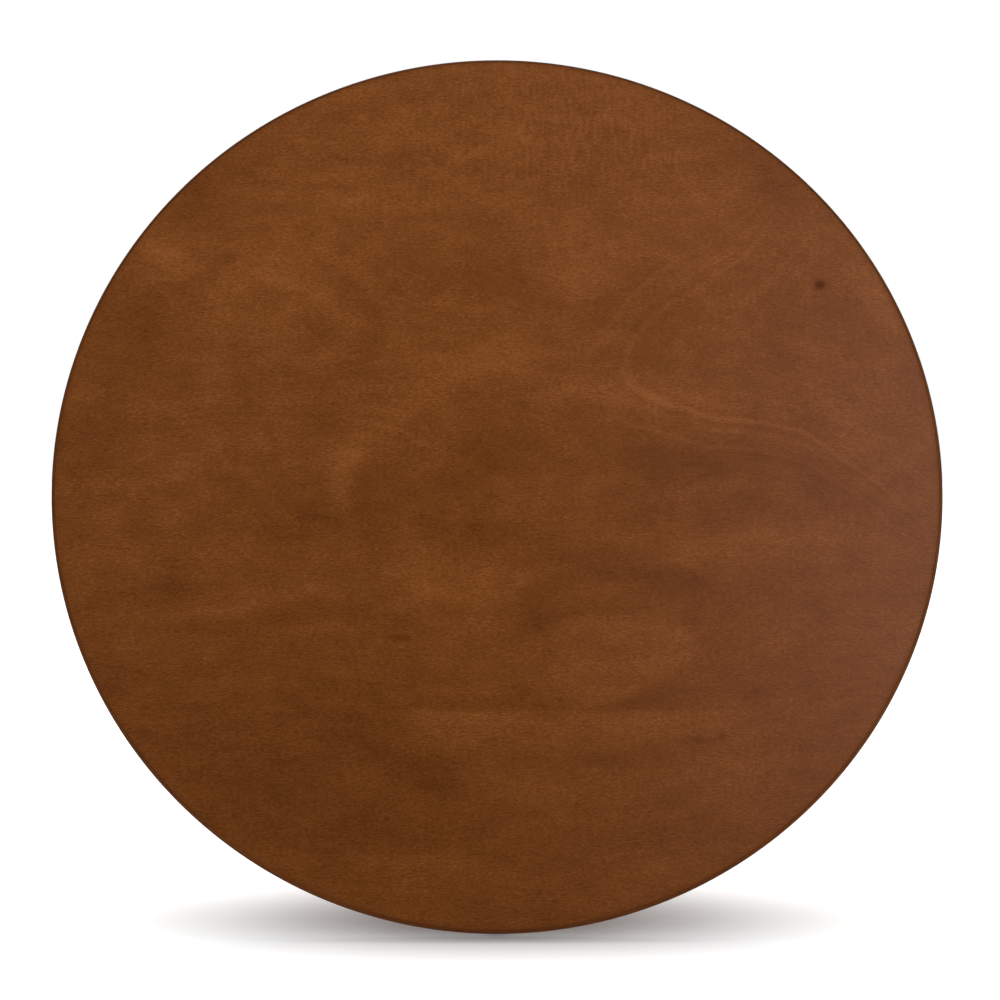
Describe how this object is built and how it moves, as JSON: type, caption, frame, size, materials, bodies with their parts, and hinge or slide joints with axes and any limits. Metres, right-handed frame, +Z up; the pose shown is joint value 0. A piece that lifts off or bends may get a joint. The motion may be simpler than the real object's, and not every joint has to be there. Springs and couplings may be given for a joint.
{
  "type": "tilt top table",
  "caption": "Round coffee-height table whose wooden top tilts up on a pedestal base for storage and locks level with a slide catch.",
  "frame": {"origin": "on the floor, under the middle of the whole object's bounding box with the top tilted up", "axes": "+Z up, +X to the right along the pivot axis, -Y towards the side that the tilted top's face looks to"},
  "size_m": [1.016, 0.5696, 0.9895],
  "materials": {
    "face_veneer": "walnut-stained rotary-cut veneer under satin lacquer",
    "backing_veneer": "walnut-stained balancing veneer, thin lacquer",
    "edge_lipping": "walnut-stained solid lipping, rounded over and lacquered",
    "panel_core": "raw fibreboard",
    "stained_solid_wood": "walnut-stained solid wood under satin lacquer",
    "brass": "lightly worn satin brass",
    "zinc_steel": "zinc-plated steel",
    "rubber": "matte black rubber",
    "glide_plastic": "matte dark brown plastic"
  },
  "bodies": {
    "base": {"head_front_rail": "stained_solid_wood", "head_back_rail": "stained_solid_wood", "head_centre_board": "stained_solid_wood", "keeper_plate": "brass", "keeper_screw_1": "brass", "keeper_screw_2": "brass", "head_cheek_left": "stained_solid_wood", "head_cheek_right": "stained_solid_wood", "pivot_bolt_left": "zinc_steel", "pivot_bolt_right": "zinc_steel", "pivot_spacer_left": "brass", "pivot_spacer_right": "brass", "pivot_washer_left": "zinc_steel", "pivot_washer_right": "zinc_steel", "threaded_insert_left": "brass", "threaded_insert_right": "brass", "column": "stained_solid_wood", "leg_right": "stained_solid_wood", "leg_back": "stained_solid_wood", "leg_left": "stained_solid_wood", "leg_front": "stained_solid_wood", "glide_right": "glide_plastic", "glide_back": "glide_plastic", "glide_left": "glide_plastic", "glide_front": "glide_plastic", "spider_screw_right": "zinc_steel", "spider_screw_back": "zinc_steel", "spider_screw_left": "zinc_steel", "spider_screw_front": "zinc_steel", "spider_plate": "zinc_steel", "tie_rod": "zinc_steel", "tie_rod_washer_upper": "zinc_steel", "tie_rod_washer_lower": "zinc_steel", "tie_rod_nut_upper": "zinc_steel", "tie_rod_nut_lower": "zinc_steel", "toe_buffer": "rubber", "toe_buffer_screw": "zinc_steel"},
    "top": {"top_core": "panel_core", "face_veneer": "face_veneer", "backing_veneer": "backing_veneer", "edge_lipping": "edge_lipping", "bearer_left": "stained_solid_wood", "bearer_right": "stained_solid_wood", "pivot_bush_left": "brass", "pivot_bush_right": "brass", "bearer_screw_1": "zinc_steel", "bearer_screw_2": "zinc_steel", "bearer_screw_3": "zinc_steel", "bearer_screw_4": "zinc_steel", "bearer_screw_5": "zinc_steel", "bearer_screw_6": "zinc_steel", "catch_plate": "brass", "catch_screw_1": "brass", "catch_screw_2": "brass", "catch_screw_3": "brass", "catch_screw_4": "brass"},
    "catch_bolt": {"catch_bolt": "brass", "catch_knob": "brass"}
  },
  "joints": [
    {"name": "top_tilt", "type": "hinge", "parent": "base", "child": "top", "pos_m": [0, -0.12068, 0.348], "axis": [-1, 0, 0], "range_deg": [0, 75]},
    {"name": "catch_bolt_slide", "type": "slide", "parent": "top", "child": "catch_bolt", "axis": [0, -0.2588, -0.9659], "range_m": [0, 0.018]}
  ]
}
